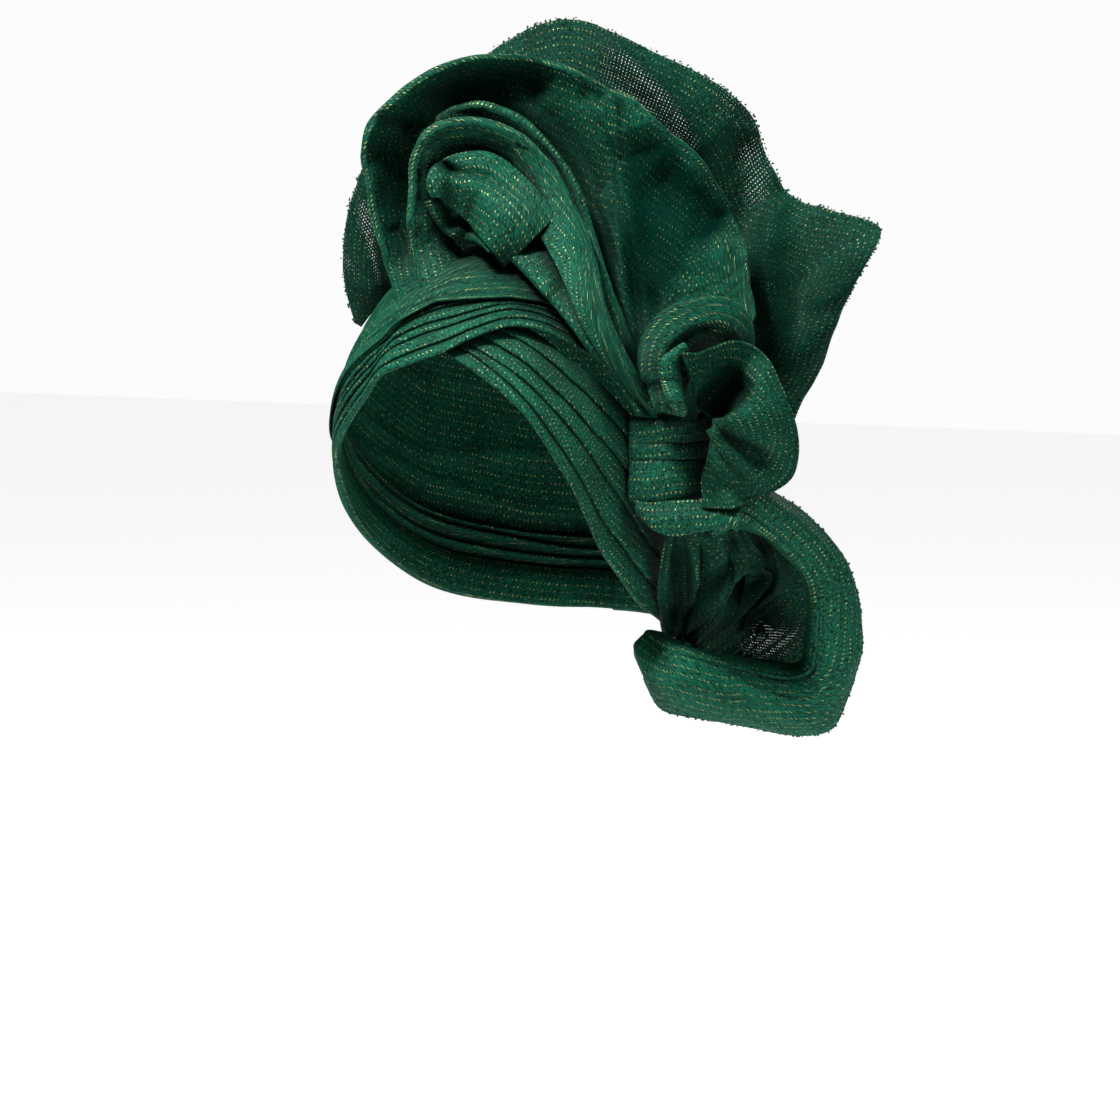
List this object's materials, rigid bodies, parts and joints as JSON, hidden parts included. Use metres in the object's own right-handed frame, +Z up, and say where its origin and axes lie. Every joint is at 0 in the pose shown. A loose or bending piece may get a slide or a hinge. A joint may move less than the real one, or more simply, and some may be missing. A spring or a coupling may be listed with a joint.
{
  "type": "tied gele head tie",
  "caption": "Pleated cloth head wrap tied at one side, with a rosette over the crown, two upright fans, a small side rosette and a gathered tail.",
  "frame": {"origin": "middle of the head opening, on the head's widest level", "axes": "+Z up through the crown, -Y the way the wearer faces, +X to the wearer's left, where the knot is"},
  "size_m": [0.2389, 0.2046, 0.3369],
  "materials": {
    "close_weave": "close green weave with rows of gold thread dots, soft sheen",
    "open_weave": "looser see-through green weave with gold dots and a raw selvedge"
  },
  "bodies": {
    "root": {"crown_wrap": "close_weave", "over_band": "close_weave", "under_band": "close_weave", "back_fan": "open_weave", "front_fan": "close_weave", "outer_petal": "close_weave", "middle_petal": "close_weave", "slant_pleat": "close_weave", "heart_fold": "close_weave", "heart_lip": "close_weave", "knot_wrap": "close_weave", "knot_tuck": "close_weave", "side_hood": "close_weave", "side_leaf": "close_weave", "side_shell": "close_weave", "tail_gathers": "open_weave", "tail_rim": "open_weave"}
  },
  "joints": []
}
